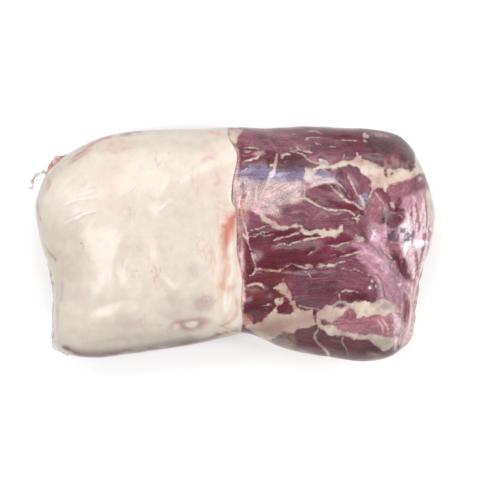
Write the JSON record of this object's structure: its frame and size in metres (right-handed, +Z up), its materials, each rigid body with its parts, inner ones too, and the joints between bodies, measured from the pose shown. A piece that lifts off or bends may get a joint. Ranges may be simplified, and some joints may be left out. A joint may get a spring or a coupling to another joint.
{
  "type": "vacuum pack of bone-in pork butts",
  "caption": "Clear shrink bag sealed tight round bone-in pork butts lying side by side, fat cap up at one end and lean muscle up at the other, to be kept chilled.",
  "frame": {"origin": "middle of the pack's box, on the surface that it lies on", "axes": "+X along the pack from the butt lying fat side up to the one lying lean side up, +Y towards the back edge, +Z up"},
  "size_m": [0.4098, 0.2354, 0.1046],
  "materials": {
    "sealed_meat": "raw pork under tight clear film, glossy",
    "clear_film": "clear shrink film, high gloss",
    "pork_fat": "cream fat cap, soft and slightly waxy",
    "pork_lean": "dark purple-red lean with seams of fat, moist"
  },
  "bodies": {
    "root": {"sealed_bag": "sealed_meat"}
  },
  "joints": []
}
